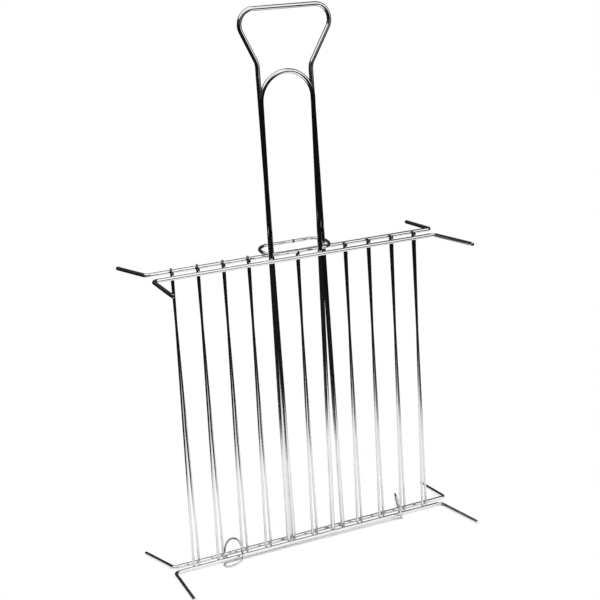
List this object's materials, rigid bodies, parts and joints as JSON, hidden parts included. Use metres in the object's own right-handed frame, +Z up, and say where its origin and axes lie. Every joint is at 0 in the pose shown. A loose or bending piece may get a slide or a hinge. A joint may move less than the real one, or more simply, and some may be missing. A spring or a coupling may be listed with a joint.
{
  "type": "footed folding grill grate",
  "caption": "Two-leaf folding grill basket of chromed wire on bent wire feet, with a long flared carrying handle and a sliding lock ring.",
  "frame": {"origin": "on the ground plane, under the middle of the bounding box, with the grate standing on its lower feet", "axes": "+X across the rods to the right as seen from the front leaf, +Y from the front leaf to the back leaf, +Z up along the handles"},
  "size_m": [0.3178, 0.1384, 0.5084],
  "materials": {
    "rod_wire": "bright plated steel wire",
    "cross_wire": "bright plated steel wire, bent cold",
    "handle_wire": "bright plated steel wire, thicker",
    "ring_wire": "bright plated steel wire",
    "hinge_wire": "bright plated thin steel wire"
  },
  "bodies": {
    "back_leaf": {"back_rod_1": "rod_wire", "back_rod_2": "rod_wire", "back_rod_3": "rod_wire", "back_rod_4": "rod_wire", "back_rod_6": "rod_wire", "back_rod_8": "rod_wire", "back_rod_9": "rod_wire", "back_rod_10": "rod_wire", "back_rod_11": "rod_wire", "back_upper_crosswire": "cross_wire", "back_lower_crosswire": "cross_wire", "long_handle": "handle_wire"},
    "front_leaf": {"front_rod_1": "rod_wire", "front_rod_2": "rod_wire", "front_rod_3": "rod_wire", "front_rod_4": "rod_wire", "front_rod_6": "rod_wire", "front_rod_8": "rod_wire", "front_rod_9": "rod_wire", "front_rod_10": "rod_wire", "front_rod_11": "rod_wire", "front_upper_crosswire": "cross_wire", "front_lower_crosswire": "cross_wire", "short_handle": "handle_wire"},
    "lock_ring": {"lock_ring": "ring_wire"},
    "hinge_wire": {"hinge_wire": "hinge_wire"}
  },
  "joints": [
    {"name": "front_leaf_hinge", "type": "hinge", "parent": "back_leaf", "child": "front_leaf", "pos_m": [0, -0.00312, 0.0048], "axis": [1, 0, 0], "range_deg": [-1, 150]},
    {"name": "lock_ring_slide", "type": "slide", "parent": "back_leaf", "child": "lock_ring", "axis": [0, 0.0209, 0.9998], "range_m": [0, 0.166]},
    {"name": "hinge_wire_drop", "type": "slide", "parent": "back_leaf", "child": "hinge_wire", "axis": [0, 0, 1], "range_m": [-0.008, 0]}
  ]
}
